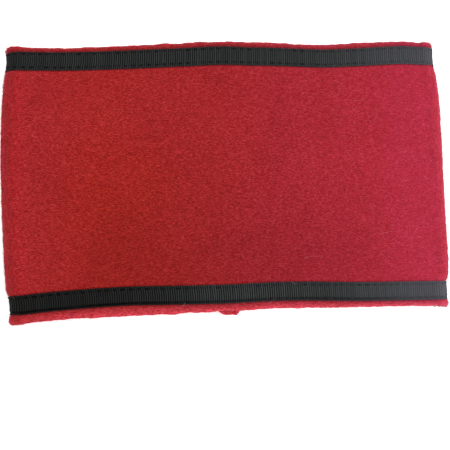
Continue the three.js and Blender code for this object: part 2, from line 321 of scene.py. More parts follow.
def lengths_at(h):
    """Distance along the loop at height h for each station of RUN."""
    steps = np.linalg.norm(np.diff(middle_surface(RUN, h), axis=0), axis=1)
    return np.concatenate([[0], np.cumsum(steps)])


def seam_distance(u):
    """How far along the loop a station lies from the back seam."""
    return (np.asarray(u) % 4 - SEAM_U) * LAYER_LENGTH


def stitch_count(h):
    return round(lengths_at(h)[-1] / STITCH_PITCH)


def stitch_phase(u, h):
    """Stitches passed since the loop's start at height h: whole numbers are needle holes."""
    lengths = lengths_at(h)
    return np.interp(np.asarray(u) % 4, RUN, lengths) / lengths[-1] * stitch_count(h)


def unevenness(u, h, wavelengths, seed, count=36):
    """Soft noise, mostly from -1 to 1: a sum of plane waves of random heading and phase, whole round the
    loop."""
    draw = np.random.default_rng(seed)
    round_it = lengths_at(0)[-1]
    place = np.interp(np.asarray(u) % 4, RUN, lengths_at(0))
    total = 0.0
    for _ in range(count):
        wave = 2 * np.pi / draw.uniform(*wavelengths)
        heading = draw.uniform(0, np.pi)
        turns = round(wave * np.cos(heading) * round_it / (2 * np.pi))
        phase = draw.uniform(0, 2 * np.pi)
        total = total + np.sin(2 * np.pi * turns * place / round_it + wave * np.sin(heading) * h + phase)
    return total / math.sqrt(count)


STITCH_LINES = {
    "lower_out": LOWER_RIBBON + MARGIN_STITCH_IN,
    "lower_in": LOWER_RIBBON + RIBBON_WIDTH - STITCH_IN,
    "upper_in": UPPER_RIBBON + STITCH_IN,
    "upper_out": UPPER_RIBBON + RIBBON_WIDTH - MARGIN_STITCH_IN,
}

# Each ribbon's lower edge and its rows of stitching, from below.
RIBBON_ROWS = ((LOWER_RIBBON, ("lower_out", "lower_in")), (UPPER_RIBBON, ("upper_in", "upper_out")))


def near_ribbon(h, reach):
    """Whether a height lies under a ribbon or within reach of its edges."""
    lower, upper = [(h > start - reach) & (h < start + RIBBON_WIDTH + reach) for start, _ in RIBBON_ROWS]
    return lower | upper


def across_ribbon(inside):
    """Distances from a ribbon's lower edge: those given, its middle, and the same ones from its upper
    edge."""
    return [*inside, RIBBON_WIDTH / 2, *(RIBBON_WIDTH - w for w in reversed(inside))]


def outer_relief(u, h):
    """Offset of the wool's outer face: half its thickness with soft lumps, a bed under each ribbon, a
    swelling and small puckers beside the ribbons' stitching, and the groove of the back seam."""
    relief = OUTER_FACE + LUMP * unevenness(u, h, (5, 26), seed=11)
    for start, lines in RIBBON_ROWS:
        end = start + RIBBON_WIDTH
        under = smooth((h - start + BED_EASE) / BED_EASE) * smooth((end + BED_EASE - h) / BED_EASE)
        outside = np.maximum(np.maximum(start - h, h - end), 0)
        relief = relief + PUFF * bell(outside - 1.4, 1.1) * (outside > 0)
        for name in lines:
            line = STITCH_LINES[name]
            near = np.exp(-np.abs(h - line) / PUCKER_REACH)
            relief = relief - PUCKER * near * (0.5 + 0.5 * np.cos(2 * np.pi * stitch_phase(u, line)))
        bed = BED - 0.3 * (bell(h - STITCH_LINES[lines[0]], 0.6) + bell(h - STITCH_LINES[lines[1]], 0.6))
        relief = mix(relief, bed, under)
    seam = seam_distance(u)
    return relief - SEAM_DEPTH * bell(seam, SEAM_HALF_WIDTH) + 0.1 * bell(np.abs(seam) - 2, 1.2)


def on_front(u):
    """1 on the front layer and 0 on the back one, changing softly round the folds."""
    u = np.asarray(u, float) % 4
    return smooth(u - 1) * (1 - smooth(u - 3))


def painted_sheen_share(u, h):
    """Share of the sheen painted on the wool as if lit from the right: none on the back and the front's left
    half, full at its right end.
    """
    x = middle_surface(u, h)[..., 0]
    return on_front(u) * (0.55 * smooth((x + 5) / 85) + 0.45 * smooth((x - 60) / 30))


def wool_painted_light(u, h):
    """Painted light and shade that the wool's colour is multiplied by: red, green and blue. On the front the
    right end has a pinker painted sheen, and the left end a little, most of all at its fold, which is painted
    lighter.
    The front is painted warmer left of the middle, cooler right of it and bluer at it, and darker in its
    lower half, and painted shade lies in the creases along the ribbons' outer edges."""
    u, h = np.broadcast_arrays(u, h)
    x = middle_surface(u, h)[..., 0]
    front = on_front(u)
    below, above = LOWER_RIBBON - h, h - UPPER_RIBBON - RIBBON_WIDTH
    # Painted shade in the creases just outside the ribbons.
    crease_shade = np.where(below > 0, bell(below, 1.3), 0) + np.where(above > 0, bell(above, 1.6), 0)
    washes = (
        (painted_sheen_share(u, h), (1.08, 1.35, 3.55)),
        (front * smooth((-58 - x) / 30), (1.01, 1.03, 1.26)),
        (front * smooth((-86 - x) / 10), (1.16, 1.04, 1.12)),
        (front * bell(x + 46, 34) * smooth((28 - h) / 35), (0.95, 0.9, 0.62)),
        (front * bell(x - 20, 44), (0.92, 0.89, 1.12)),
        (front * bell(x + 5, 32), (0.99, 1.03, 1.22)),
        (front * smooth((5 - h) / 45) * smooth((x + 85) / 35) * smooth((100 - x) / 60), (0.87, 0.82, 0.88)),
        (crease_shade, (0.68, 0.78, 0.86)),
    )
    light_shade_tint = np.ones(x.shape + (3,))
    for share, colour in washes:
        light_shade_tint = light_shade_tint * mix(1, np.array(colour), share[..., None])
    return light_shade_tint


# Painted sheen on each ribbon along the front layer, and how strongly the painted highlights on its rib
# crests stand out.
RIBBON_PAINTED_SHEEN = named_columns("x lower upper lower_ribs upper_ribs", [
    (-97, 0.00, 0.20, 0.90, 0.55),
    (-42, 0.06, 0.27, 1.05, 0.90),
    (0, 0.40, 0.29, 1.15, 0.65),
    (40, 0.41, 0.40, 0.60, 0.48),
    (66, 0.64, 0.61, 0.30, 0.48),
    (82, 0.86, 0.80, 0.30, 0.48),
    (97, 1.00, 0.88, 0.30, 0.45),
])


def ribbon_painted_sheen(u, which):
    x = middle_surface(u, 0)[..., 0]
    return np.clip(column(RIBBON_PAINTED_SHEEN, "x", which, x), 0, 1) * mix(0.2, 1, on_front(u))


def rib_highlight_share(u, which):
    return column(RIBBON_PAINTED_SHEEN, "x", which + "_ribs", middle_surface(u, 0)[..., 0])


def inner_relief(u, h):
    """What the inner face swells by: soft lumps, and dents where the stitching comes through the hems."""
    relief = LUMP * unevenness(u, h, (4, 20), seed=12)
    for line in STITCH_LINES.values():
        dent = bell(h - line, 0.7) * (0.6 + 0.4 * np.cos(2 * np.pi * stitch_phase(u, line)))
        relief = relief + 0.16 * dent
    return relief


# Meshes.
def own_place():
    """What moves the loop's own frame, in millimetres, to the CAD model's, so that their boxes share a
    centre."""
    heights = np.linspace(LOWER_EDGE, UPPER_EDGE, 120)[None]
    reach = wall_point(np.linspace(0, 4, 400)[:, None], heights, OUTER_FACE)
    tip = middle_surface(np.linspace(0, 4, 1600)[:, None], np.array([LOWER_EDGE, UPPER_EDGE])[None])
    low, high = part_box("wool_band")
    centre = (np.array(low) + np.array(high)) / 2 / MM
    own_x = (reach[..., 0].min() + reach[..., 0].max()) / 2
    own_y = (tip[..., 1].min() + tip[..., 1].max()) / 2
    return np.array([centre[0] - own_x, centre[1] - own_y, 0.0])


PLACE = own_place()


def show(name, data):
    """Puts a mesh, lamp or camera into the scene as an object."""
    obj = bpy.data.objects.new(name, data)
    bpy.context.scene.collection.objects.link(obj)
    return obj


def put_mesh(name, points, faces, corner_uv, material, values):
    """One smooth mesh from points in the loop's own millimetres. faces is a list of index arrays, each with
    its own number of corners, and corner_uv a matching list. values are numbers kept at each point, by name,
    and the one named tint is a colour."""
    points = np.asarray(points, float).reshape(-1, 3)
    mesh = bpy.data.meshes.new(name)
    sizes = np.concatenate([np.full(len(f), f.shape[1]) for f in faces])
    mesh.vertices.add(len(points))
    mesh.vertices.foreach_set("co", ((points + PLACE) * MM).astype(np.float32).ravel())
    mesh.loops.add(int(sizes.sum()))
    mesh.loops.foreach_set("vertex_index", np.concatenate([f.ravel() for f in faces]).astype(np.int32))
    mesh.polygons.add(len(sizes))
    mesh.polygons.foreach_set("loop_start", (np.cumsum(sizes) - sizes).astype(np.int32))
    mesh.polygons.foreach_set("use_smooth", np.ones(len(sizes), bool))
    mesh.update(calc_edges=True)
    layer = mesh.uv_layers.new(name="OFBake")
    layer.uv.foreach_set("vector", np.concatenate([uv.reshape(-1) for uv in corner_uv]).astype(np.float32))
    for key, value in values.items():
        kind, field = "FLOAT", "value"
        if key == "light_shade_tint":
            kind, field = "FLOAT_COLOR", "color"
            value = np.insert(np.reshape(value, (-1, 3)), 3, 1.0, axis=1)
        store = mesh.attributes.new(key, kind, "POINT").data
        store.foreach_set(field, np.ravel(value).astype(np.float32))
    mesh.materials.append(material)
    return show(name, mesh)


def grid_faces(rows, columns, closed_rows, closed_columns):
    """Faces of a grid of points and the share of the way across the grid at each corner."""
    row_steps = rows if closed_rows else rows - 1
    column_steps = columns if closed_columns else columns - 1
    i, j = np.indices((row_steps, column_steps)).reshape(2, -1)
    corners = np.stack([i, i + 1, i + 1, i], 1), np.stack([j, j, j + 1, j + 1], 1)
    faces = (corners[0] % rows) * columns + corners[1] % columns
    return faces, corners


def shares(points, axis):
    """How far along one axis of a grid each line of points lies, from 0 to 1, by the grid's mean spacing.
    The way back to the first line is the last step."""
    steps = np.linalg.norm(np.roll(points, -1, axis) - points, axis=-1).mean(1 - axis)
    return np.concatenate([[0], np.cumsum(steps)]) / steps.sum()


def ring_mesh(name, points, material, values):
    """A grid of points closed both ways, with a map that unrolls it into one rectangle."""
    rows, columns = points.shape[:2]
    faces, (i, j) = grid_faces(rows, columns, True, True)
    uv = 0.002 + 0.996 * np.stack([shares(points, 0)[i], shares(points, 1)[j]], -1)
    return put_mesh(name, points, [faces], [uv], material, values)


def tube_mesh(name, paths, radii, sides, over, material, values):
    """Many thin closed tubes in one mesh. paths is (tubes, points, 3), radii (tubes, points), and over the
    outward direction at each path. Each tube has its own small square of the map."""
    tubes, count = paths.shape[:2]
    ahead = unit(np.gradient(paths, axis=1))
    side = unit(np.cross(ahead, over[:, None, :]))
    up = np.cross(side, ahead)
    angle = 2 * np.pi * np.arange(sides) / sides
    ring = np.cos(angle)[:, None] * side[:, :, None, :] + np.sin(angle)[:, None] * up[:, :, None, :]
    points = paths[:, :, None, :] + radii[:, :, None, None] * ring
    quads, (i, j) = grid_faces(count, sides, False, True)
    start = (np.arange(tubes) * count * sides)[:, None, None]
    body = (quads[None] + start).reshape(-1, 4)[:, ::-1]
    first_cap = np.arange(sides)
    last_cap = (count - 1) * sides + np.arange(sides)[::-1]
    caps = (np.stack([first_cap, last_cap])[None] + start).reshape(-1, sides)[:, ::-1]
    across = math.ceil(math.sqrt(tubes))
    corner = np.stack([np.arange(tubes) % across, np.arange(tubes) // across], -1) / across
    body_uv = np.stack([0.1 + 0.8 * j / sides, 0.15 + 0.7 * i / (count - 1)], -1)[:, ::-1]
    fan = 0.5 + 0.35 * np.stack([np.cos(angle), 0.15 * np.sin(angle)], -1)
    cap_uv = np.stack([fan - [0, 0.43], fan[::-1] + [0, 0.43]])[:, ::-1]
    place = corner[:, None, None]
    squares = [(place + uv[None] / across).reshape(-1, uv.shape[1], 2) for uv in (body_uv, cap_uv)]
    values = {key: np.repeat(value, count * sides, axis=0) for key, value in values.items()}
    return put_mesh(name, points, [body, caps], squares, material, values)


# Shader helpers.
def fill(tree, node, inputs):
    """Gives a node's inputs, by name or number, each a value or a link."""
    for key, value in inputs.items():
        if isinstance(value, bpy.types.NodeSocket):
            tree.links.new(value, node.inputs[key])
        else:
            node.inputs[key].default_value = value


def add(tree, kind, inputs=None, **settings):
    """Adds a node, sets its options and fills its inputs."""
    node = tree.nodes.new(kind)
    for key, value in settings.items():
        setattr(node, key, value)
    fill(tree, node, inputs or {})
    return node


def effect(name, takes, gives):
    """A shader node group with named sockets: takes gives each input's kind and first value, and gives each
    output's kind."""
    group = bpy.data.node_groups.new(name, "ShaderNodeTree")
    for key, (kind, value) in takes.items():
        socket = group.interface.new_socket(name=key, in_out="INPUT", socket_type="NodeSocket" + kind)
        if value is not None:
            socket.default_value = value
    for key, kind in gives.items():
        group.interface.new_socket(name=key, in_out="OUTPUT", socket_type="NodeSocket" + kind)
    inputs = group.nodes.new("NodeGroupInput").outputs
    outputs = group.nodes.new("NodeGroupOutput").inputs
    return group, inputs, outputs


def use(tree, group, inputs):
    """Places a node group and fills its inputs."""
    return add(tree, "ShaderNodeGroup", inputs, node_tree=group).outputs


def maths(tree, operation, *values, clamp=False):
    inputs = dict(enumerate(values))
    return add(tree, "ShaderNodeMath", inputs, operation=operation, use_clamp=clamp).outputs[0]


def times(tree, a, b, clamp=False):
    return maths(tree, "MULTIPLY", a, b, clamp=clamp)


def plus(tree, a, b):
    return maths(tree, "ADD", a, b)


def ranged(tree, value, low, high, to_low=0.0, to_high=1.0):
    """Carries low to to_low and high to to_high, and stays between them."""
    inputs = {"Value": value, "From Min": low, "From Max": high, "To Min": to_low, "To Max": to_high}
    return add(tree, "ShaderNodeMapRange", inputs).outputs["Result"]


def blended(tree, share, first, second, blend="MIX"):
    """The first colour where share is 0 and the second, or their product, where it is 1."""
    inputs = {0: share, 6: first, 7: second}
    return add(tree, "ShaderNodeMix", inputs, data_type="RGBA", blend_type=blend).outputs[2]


def noise_node(tree, vector, size, detail, roughness=0.5):
    """Noise whose features are about size millimetres across."""
    inputs = {"Vector": vector, "Scale": 1 / (size * MM), "Detail": detail, "Roughness": roughness}
    return add(tree, "ShaderNodeTexNoise", inputs).outputs


def noise(tree, vector, size, detail=2.0, roughness=0.5):
    return noise_node(tree, vector, size, detail, roughness)["Fac"]


def scaled(tree, vector, scale):
    return add(tree, "ShaderNodeMapping", {"Vector": vector, "Scale": scale}).outputs[0]


def shift(tree, operation, vector, other):
    return add(tree, "ShaderNodeVectorMath", {0: vector, 1: other}, operation=operation).outputs[0]


def object_place(tree):
    return add(tree, "ShaderNodeTexCoord").outputs["Object"]


def kept(tree, name, output="Fac"):
    """What a mesh keeps at its points under that name."""
    return add(tree, "ShaderNodeAttribute", attribute_name=name).outputs[output]


def bumped(tree, height, strength, distance):
    """A normal tilted by a height, whose full range stands for distance millimetres."""
    inputs = {"Height": height, "Strength": strength, "Distance": distance * MM}
    return add(tree, "ShaderNodeBump", inputs).outputs[0]


def nap_effect():
    """Fulled wool's nap: short curly fibres that lie mostly along the loop, with a hint of the weave where
    the nap is thin. Stretched noise is bent by a wider noise, thin bright lines are where another noise
    crosses its middle value, and the weave is a sine each way."""
    needs = {"Vector": ("Vector", None), "Depth": ("Float", 1.0)}
    group, takes, gives = effect("wool_nap", needs, {"Height": "Float", "Tone": "Float", "Strands": "Float"})
    bend = noise_node(group, takes["Vector"], 3.4, 1.0)["Color"]
    sway = shift(group, "SUBTRACT", bend, (0.5, 0.5, 0.5))
    sway = add(group, "ShaderNodeVectorMath", {0: sway, "Scale": 1.2 * MM}, operation="SCALE").outputs[0]
    bent = shift(group, "ADD", takes["Vector"], sway)
    lying = scaled(group, bent, (0.3, 1.0, 1.0))
    fibres = noise(group, lying, 0.38)
    clumps = noise(group, lying, 0.6, detail=1.0)
    pits = ranged(group, noise(group, bent, 0.4, detail=1.0), 0.46, 0.3)
    long = noise(group, scaled(group, bent, (0.4, 1.0, 1.0)), 0.9, detail=1.0)
    line = maths(group, "ABSOLUTE", maths(group, "SUBTRACT", long, 0.5))
    some = ranged(group, noise(group, takes["Vector"], 1.6, detail=1.0), 0.5, 0.62)
    strand = times(group, ranged(group, line, 0.03, 0.005), some)
    group.links.new(strand, gives["Strands"])
    tone = plus(group, times(group, fibres, 0.9), times(group, clumps, 0.1))
    tone = maths(group, "SUBTRACT", tone, times(group, pits, 0.1))
    axes = add(group, "ShaderNodeSeparateXYZ", {0: bent}).outputs
    warps = maths(group, "SINE", times(group, axes[0], 2 * math.pi / (WARP_PITCH * MM)))
    wefts = maths(group, "SINE", times(group, axes[1], 2 * math.pi / (WEFT_PITCH * MM)))
    thin = ranged(group, noise(group, takes["Vector"], 12.0, detail=1.0), 0.4, 0.65, 0.0, 0.02)
    tone = plus(group, tone, times(group, plus(group, warps, wefts), thin))
    group.links.new(ranged(group, tone, 0.32, 0.66), gives["Tone"])
    height = plus(group, tone, times(group, strand, 0.2))
    group.links.new(times(group, height, takes["Depth"]), gives["Height"])
    return group


def mottle_effect():
    """Broad patches of tone, as a dye takes unevenly."""
    needs = {"Vector": ("Vector", None), "Size": ("Float", 14.0)}
    group, takes, gives = effect("uneven_dye", needs, {"Tone": "Float"})
    scale = maths(group, "DIVIDE", 1 / MM, takes["Size"])
    inputs = {"Vector": takes["Vector"], "Scale": scale, "Detail": 3.0, "Roughness": 0.55}
    patch = add(group, "ShaderNodeTexNoise", inputs).outputs["Fac"]
    group.links.new(ranged(group, patch, 0.3, 0.7), gives["Tone"])
    return group


def lint_effect():
    """Specks of lint and dust: the cores of scattered cells."""
    needs = {"Vector": ("Vector", None), "Spacing": ("Float", 4.0)}
    group, takes, gives = effect("lint_specks", needs, {"Mask": "Float"})
    inputs = {"Vector": takes["Vector"], "Scale": maths(group, "DIVIDE", 1 / MM, takes["Spacing"])}
    core = ranged(group, add(group, "ShaderNodeTexVoronoi", inputs).outputs["Distance"], 0.075, 0.04)
    some = ranged(group, noise(group, takes["Vector"], 6.0, detail=1.0), 0.5, 0.6)
    group.links.new(times(group, core, some), gives["Mask"])
    return group


NAP = nap_effect()
UNEVEN_DYE = mottle_effect()
LINT_SPECKS = lint_effect()


def new_material(name, slot_name):
    """A material with a Principled shader, shown in the viewport in its record colour, and its node tree."""
    material = bpy.data.materials.new(name)
    material.use_nodes = True
    tree = material.node_tree
    slots = {m["slot"]: m["base_color"] for m in frame["record"]["materials"]}
    if slot_name in slots:
        material.diffuse_color = (*slots[slot_name][:3], 1.0)
    return material, tree, tree.nodes["Principled BSDF"]


# Colours, linear.
WOOL_DEEP = (0.19, 0.0048, 0.0044, 1)
WOOL_MID = (0.268, 0.0082, 0.0074, 1)
WOOL_LIGHT = (0.37, 0.021, 0.0185, 1)
# Painted colours on the wool: the folded edges' paler highlight, which also stands for their wear, and the
# pinker sheen painted on the front's right end.
WOOL_RUBBED_LIT = (0.7, 0.06, 0.088, 1)
WOOL_PAINTED_SHEEN = (0.6, 0.075, 0.112, 1)
FIBRE_DEEP = (0.27, 0.0095, 0.009, 1)
FIBRE_PALE = (0.45, 0.044, 0.038, 1)
RIBBON_DEEP = (0.0005, 0.0005, 0.0006, 1)
# Painted colours on the ribbons: a highlight on the rib crests, and a paler and a greyer sheen painted
# towards the front's right end; the greyer one also stands for the stitches' dust.
RIBBON_CREST_HIGHLIGHT = (0.0172, 0.018, 0.0163, 1)
RIBBON_SHEEN_PALE = (0.097, 0.108, 0.106, 1)
RIBBON_DUST_AND_SHEEN = (0.052, 0.048, 0.06, 1)
THREAD_BLACK = (0.0003, 0.0003, 0.0004, 1)
THREAD_LIGHT = (0.0014, 0.0014, 0.0017, 1)
LINT_GREY = (0.36, 0.3, 0.29, 1)
LINT_PINK = (0.5, 0.13, 0.14, 1)


def wool_material():
    """Fulled red wool: nap and uneven dye make the tone, less of it where the sheen is painted. The edges are
    paler, with wear and a painted highlight, and a soft pink sheen lies over all."""
    material, tree, shader = new_material("red_wool_cloth", "wool")
    place = object_place(tree)
    nap = use(tree, NAP, {"Vector": place, "Depth": 1.0})
    dye = use(tree, UNEVEN_DYE, {"Vector": place, "Size": 16.0})["Tone"]
    painted_sheen = kept(tree, "painted_sheen")
    # Where the sheen is painted, the nap's tone is flattened.
    contrast = ranged(tree, painted_sheen, 0.0, 1.0, 1.05, 0.55)
    tone = maths(tree, "MULTIPLY_ADD", maths(tree, "SUBTRACT", nap["Tone"], 0.5), contrast, 0.43)
    tone = plus(tree, tone, times(tree, dye, 0.12))
    colour = blended(tree, ranged(tree, tone, 0.08, 0.5), WOOL_DEEP, WOOL_MID)
    colour = blended(tree, ranged(tree, tone, 0.5, 0.95), colour, WOOL_LIGHT)
    colour = blended(tree, times(tree, nap["Strands"], 0.5), colour, FIBRE_PALE)
    colour = blended(tree, 1.0, colour, kept(tree, "light_shade_tint", "Color"), "MULTIPLY")
    uneven = ranged(tree, nap["Tone"], 0.0, 1.0, 0.1, 1.15)
    rubbed_and_lit = times(tree, kept(tree, "rubbed_and_lit"), uneven, clamp=True)
    # Paler edges: wear and a painted highlight, in the painted sheen's colour at the front's right end.
    colour = blended(tree, rubbed_and_lit, colour, blended(tree, painted_sheen, WOOL_RUBBED_LIT, WOOL_PAINTED_SHEEN))
    specks = use(tree, LINT_SPECKS, {"Vector": place, "Spacing": 7.0})["Mask"]
    fill(tree, shader, {
        "Base Color": blended(tree, times(tree, specks, 0.4), colour, FIBRE_PALE),
        "Roughness": ranged(tree, nap["Tone"], 0.0, 1.0, 0.97, 0.82),
        "Normal": bumped(tree, nap["Height"], 0.6, 0.24),
        "Specular IOR Level": 0.12,
        "Sheen Weight": 0.12,
        "Sheen Roughness": 0.45,
        "Sheen Tint": (1.0, 0.28, 0.5, 1),
    })
    return material


def fibre_material():
    """Single wool fibres, from deep red to pale pink, each with its own tone."""
    material, tree, shader = new_material("red_wool_fibre", "wool")
    tone = kept(tree, "tone")
    colour = blended(tree, tone, FIBRE_DEEP, FIBRE_PALE)
    fill(tree, shader, {
        "Base Color": blended(tree, 1.0, colour, kept(tree, "light_shade_tint", "Color"), "MULTIPLY"),
        "Roughness": ranged(tree, tone, 0.0, 1.0, 0.9, 0.7),
        "Specular IOR Level": 0.1,
        "Sheen Weight": 0.08,
        "Sheen Tint": (1.0, 0.3, 0.5, 1),
    })
    return material


def ribbon_material():
    """Black grosgrain: each rib has its own tone, fine warp threads run along it, and a painted highlight
    lies on the crests. Towards the front's right end a paler and then greyer painted sheen lies over it, and
    specks of lint lie on all of it."""
    material, tree, shader = new_material("black_grosgrain", "ribbon")
    place = object_place(tree)
    warp = noise(tree, scaled(tree, place, (0.25, 1.0, 1.0)), 0.16, roughness=0.6)
    tone = times(tree, kept(tree, "crest_highlight"), ranged(tree, kept(tree, "rib_tone"), 0.0, 1.0, 0.76, 1.1))
    tone = times(tree, tone, ranged(tree, warp, 0.3, 0.7, 0.6, 1.4), clamp=True)
    painted_sheen_and_dust = kept(tree, "painted_sheen_and_dust")
    colour = blended(tree, tone, RIBBON_DEEP, blended(tree, painted_sheen_and_dust, RIBBON_CREST_HIGHLIGHT, RIBBON_SHEEN_PALE))
    # A greyer painted sheen at the very right end.
    dust_and_sheen = times(tree, maths(tree, "POWER", painted_sheen_and_dust, 3.0), 0.7)
    colour = blended(tree, dust_and_sheen, colour, RIBBON_DUST_AND_SHEEN)
    specks = use(tree, LINT_SPECKS, {"Vector": place, "Spacing": 5.0})["Mask"]
    fill(tree, shader, {
        "Base Color": blended(tree, times(tree, specks, 0.3), colour, LINT_GREY),
        "Roughness": ranged(tree, warp, 0.3, 0.7, 0.5, 0.66),
        "Normal": bumped(tree, warp, 0.5, 0.05),
        "Specular IOR Level": 0.05,
    })
    return material


def thread_material():
    """Black sewing thread, matt, with its fibres showing as fine streaks, and greyer with the ribbons'
    painted sheen and with each stitch's own dust.
    """
    material, tree, shader = new_material("black_thread", "ribbon")
    streak = noise(tree, object_place(tree), 0.12)
    colour = blended(tree, ranged(tree, streak, 0.35, 0.65), THREAD_BLACK, THREAD_LIGHT)
    dust_and_sheen = times(tree, maths(tree, "POWER", kept(tree, "painted_sheen_and_dust"), 1.6), 0.95)
    fill(tree, shader, {
        "Base Color": blended(tree, dust_and_sheen, colour, RIBBON_DUST_AND_SHEEN),
        "Roughness": ranged(tree, streak, 0.3, 0.7, 0.65, 0.85),
        "Normal": bumped(tree, streak, 0.6, 0.04),
        "Specular IOR Level": 0.02,
    })
    return material


def lint_material():
    """Stray pale hairs."""
    material, tree, shader = new_material("pale_lint", "")
    colour = blended(tree, kept(tree, "tone"), LINT_GREY, LINT_PINK)
    fill(tree, shader, {"Base Color": colour, "Roughness": 0.6})
    return material


WOOL = wool_material()
FIBRE = fibre_material()
RIBBON = ribbon_material()
BLACK_THREAD = thread_material()
LINT = lint_material()


# The wool band.
def wool_profile():
    """The cloth's section as a closed outline: heights, base offsets, and how much of the outer or inner
    face's relief each row has. It runs up the outer face, over the upper edge, down the inside and back."""
    steps = np.radians([8, 20, 33, 47, 62, 78])
    rows = []

    def roll(edge, turn, way, back=False):
        """Quarter of an ellipse from a folded edge's tip to the face it rolls into, or back to the tip."""
        heights, offsets = edge + turn * (1 - np.cos(steps)), EDGE_CENTRE + way * EDGE_RADIUS * np.sin(steps)
        quarter = [(h, offset, 0, 0) for h, offset in zip(heights, offsets)]
        rows.extend(quarter[::-1] if back else quarter)

    def line(heights, base, outer, inner):
        rows.extend((h, base, outer, inner) for h in heights)

    def cut_end(end, way):
        """The step over a hem's cut end to the inner face if way is 1, and up it again if way is -1."""
        step = [(0.18, HEM_FACE + 0.08), (0.0, HEM_FACE + 0.4)]
        step += [(-0.05, INNER_FACE - 0.3), (-0.15, INNER_FACE)]
        rows.extend((end + way * past, base, 0, 1) for past, base in step[::way])

    under_ribbon = np.array(across_ribbon([-0.45, -0.2, 0.05, 0.4, 0.8, STITCH_IN, 1.7, 2.5]))

    rows.append((LOWER_EDGE, EDGE_CENTRE, 0, 0))
    roll(LOWER_EDGE, LOWER_ROLL, 1)
    line(LOWER_RIBBON + under_ribbon, 0, 1, 0)
    field = np.linspace(LOWER_RIBBON + RIBBON_WIDTH + BED_EASE, UPPER_RIBBON - BED_EASE, 100)[1:-1]
    line(field, 0, 1, 0)
    line(UPPER_RIBBON + under_ribbon, 0, 1, 0)
    roll(UPPER_EDGE, -UPPER_ROLL, 1, back=True)
    rows.append((UPPER_EDGE, EDGE_CENTRE, 0, 0))
    roll(UPPER_EDGE, -INNER_ROLL, -1)
    line(np.linspace(UPPER_EDGE - INNER_ROLL - 0.4, UPPER_HEM_END + 0.6, 10), HEM_FACE, 0, 1)
    cut_end(UPPER_HEM_END, 1)
    line(np.linspace(UPPER_HEM_END - 1, LOWER_HEM_END + 1, 42), INNER_FACE, 0, 1)
    cut_end(LOWER_HEM_END, -1)
    line(np.linspace(LOWER_HEM_END - 0.6, LOWER_EDGE + INNER_ROLL + 0.4, 10), HEM_FACE, 0, 1)
    roll(LOWER_EDGE, INNER_ROLL, -1, back=True)
    return named_columns("height base outer inner", rows)


def loop_stations(layer_steps, fold_steps, seam_steps):
    """Stations once round the loop, closer together at the back seam."""
    parts = [(0, layer_steps), (1, fold_steps), (2, layer_steps), (3, fold_steps)]
    even = np.concatenate([start + np.arange(count) / count for start, count in parts])
    reach = SEAM_REACH / LAYER_LENGTH
    near = SEAM_U + np.linspace(-reach, reach, seam_steps)
    even = even[np.abs(even - SEAM_U) > reach + 0.3 / LAYER_LENGTH]
    return np.sort(np.concatenate([even, near]))


def wool_band():
    """The wool's closed section carried round the loop, its faces' relief added to the section's offsets."""
    profile = wool_profile()
    outside, inside = profile["outer"] > 0, profile["inner"] > 0
    rolled = ~outside & ~inside
    u = loop_stations(186, 18, 18)[:, None]
    h = np.broadcast_to(profile["height"][None], (len(u), len(profile["height"]))).copy()

    # The hems' cut ends wander.
    wander = unevenness(u, 0 * u, (1.5, 9), seed=21)
    for end in (LOWER_HEM_END, UPPER_HEM_END):
        h += RAW_EDGE * wander * bell(profile["height"] - end, 1.2) * inside
        wander = -wander[::-1]

    # The folded edges wave softly, and the seam's bulk hangs raggedly from the lower one.
    soft = SCALLOP * unevenness(u, 0 * h, (6, 20), seed=22) + RIPPLE * unevenness(u, 0 * h, (2.2, 6), seed=23)
    ragged = BULK_HANG + 0.3 * unevenness(u, h, (2, 5), seed=24)
    bulky = bell(seam_distance(u) + 0.5, 5.0) * ragged * (h < 0)
    h += (soft + bulky) * rolled * np.sign(h)

    offset = profile["base"] + 0 * h
    offset = np.where(outside, outer_relief(u, h), offset)
    offset = np.where(inside, offset + inner_relief(u, h), offset)

    # The lower left corner swells, and the seam's groove runs over the folded edges.
    corner = CORNER_SWELL * bell(u - 1.5, 0.3) * bell(h - LOWER_EDGE, 3.0)
    outer_roll = rolled * (profile["base"] > EDGE_CENTRE - 0.01)
    offset = offset + (corner - 0.3 * bell(seam_distance(u), SEAM_HALF_WIDTH)) * outer_roll
    points = wall_point(u, h, offset)

    # Paler are the folded edges, with wear and a painted highlight, less so towards the left; the left end
    # fold with a painted highlight, and the cut ends with wear.
    edge = np.maximum(bell(h - LOWER_EDGE, 2.3), 0.3 * bell(h - UPPER_EDGE, 1.2))
    edge = edge * mix(0.4, 1, smooth((points[..., 0] + 98) / 45))
    fold = 1.4 * bell(u - 1.5, 0.38)
    cut = bell(np.minimum(np.abs(h - LOWER_HEM_END), np.abs(h - UPPER_HEM_END)), 0.5) * inside
    rubbed_and_lit = np.clip(edge + 0.15 * fold + 0.5 * cut, 0, 1)
    # The outside carries the painted light and shade, and the sheen painted on the front's right end.
    light_shade_tint = np.where(inside[None, :, None], 1.0, wool_painted_light(u, h))
    painted_sheen = np.where(inside, 0.0, painted_sheen_share(u, h))
    return ring_mesh("wool_band_cloth", points, WOOL, {"rubbed_and_lit": rubbed_and_lit, "painted_sheen": painted_sheen, "light_shade_tint": light_shade_tint})


